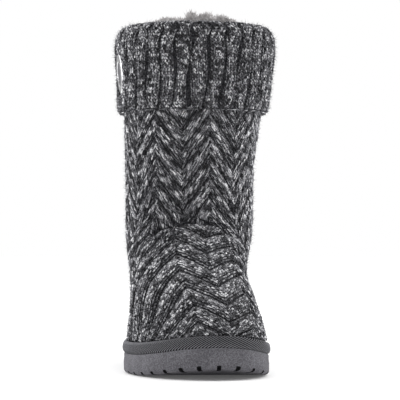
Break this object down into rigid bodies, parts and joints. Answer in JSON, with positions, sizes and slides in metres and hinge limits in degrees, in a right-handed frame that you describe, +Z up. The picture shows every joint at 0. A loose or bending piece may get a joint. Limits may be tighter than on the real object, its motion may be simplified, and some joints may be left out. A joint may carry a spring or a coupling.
{
  "type": "mukluk boot",
  "caption": "Right pull-on mukluk boot with a knitted shaft and foot, a ribbed folded cuff, plush lining, binding band and moulded rubber outsole.",
  "frame": {"origin": "on the ground under the middle of the shaft, on the flat underside of the heel", "axes": "+Z up from the ground through the shaft; -Y from the heel to the toe; +X to the inner side of the foot, which is a right one"},
  "size_m": [0.128, 0.2814, 0.2808],
  "materials": {
    "rubber_sole": "moulded matt grey rubber",
    "woven_tape": "diagonally ribbed dark grey tape",
    "knit": "marled black, grey and white yarn in a chevron knit",
    "rib_knit": "marled black, grey and white yarn in a broad rib",
    "plush": "soft grey pile",
    "polished_metal": "polished bright metal",
    "dark_enamel": "plain dark grey, glossy"
  },
  "bodies": {
    "root": {"outsole": "rubber_sole", "binding_band": "woven_tape", "insole": "plush", "upper": "knit", "cuff": "rib_knit", "collar_pile": "plush", "badge_plate": "polished_metal", "badge_inlay": "dark_enamel"}
  },
  "joints": []
}
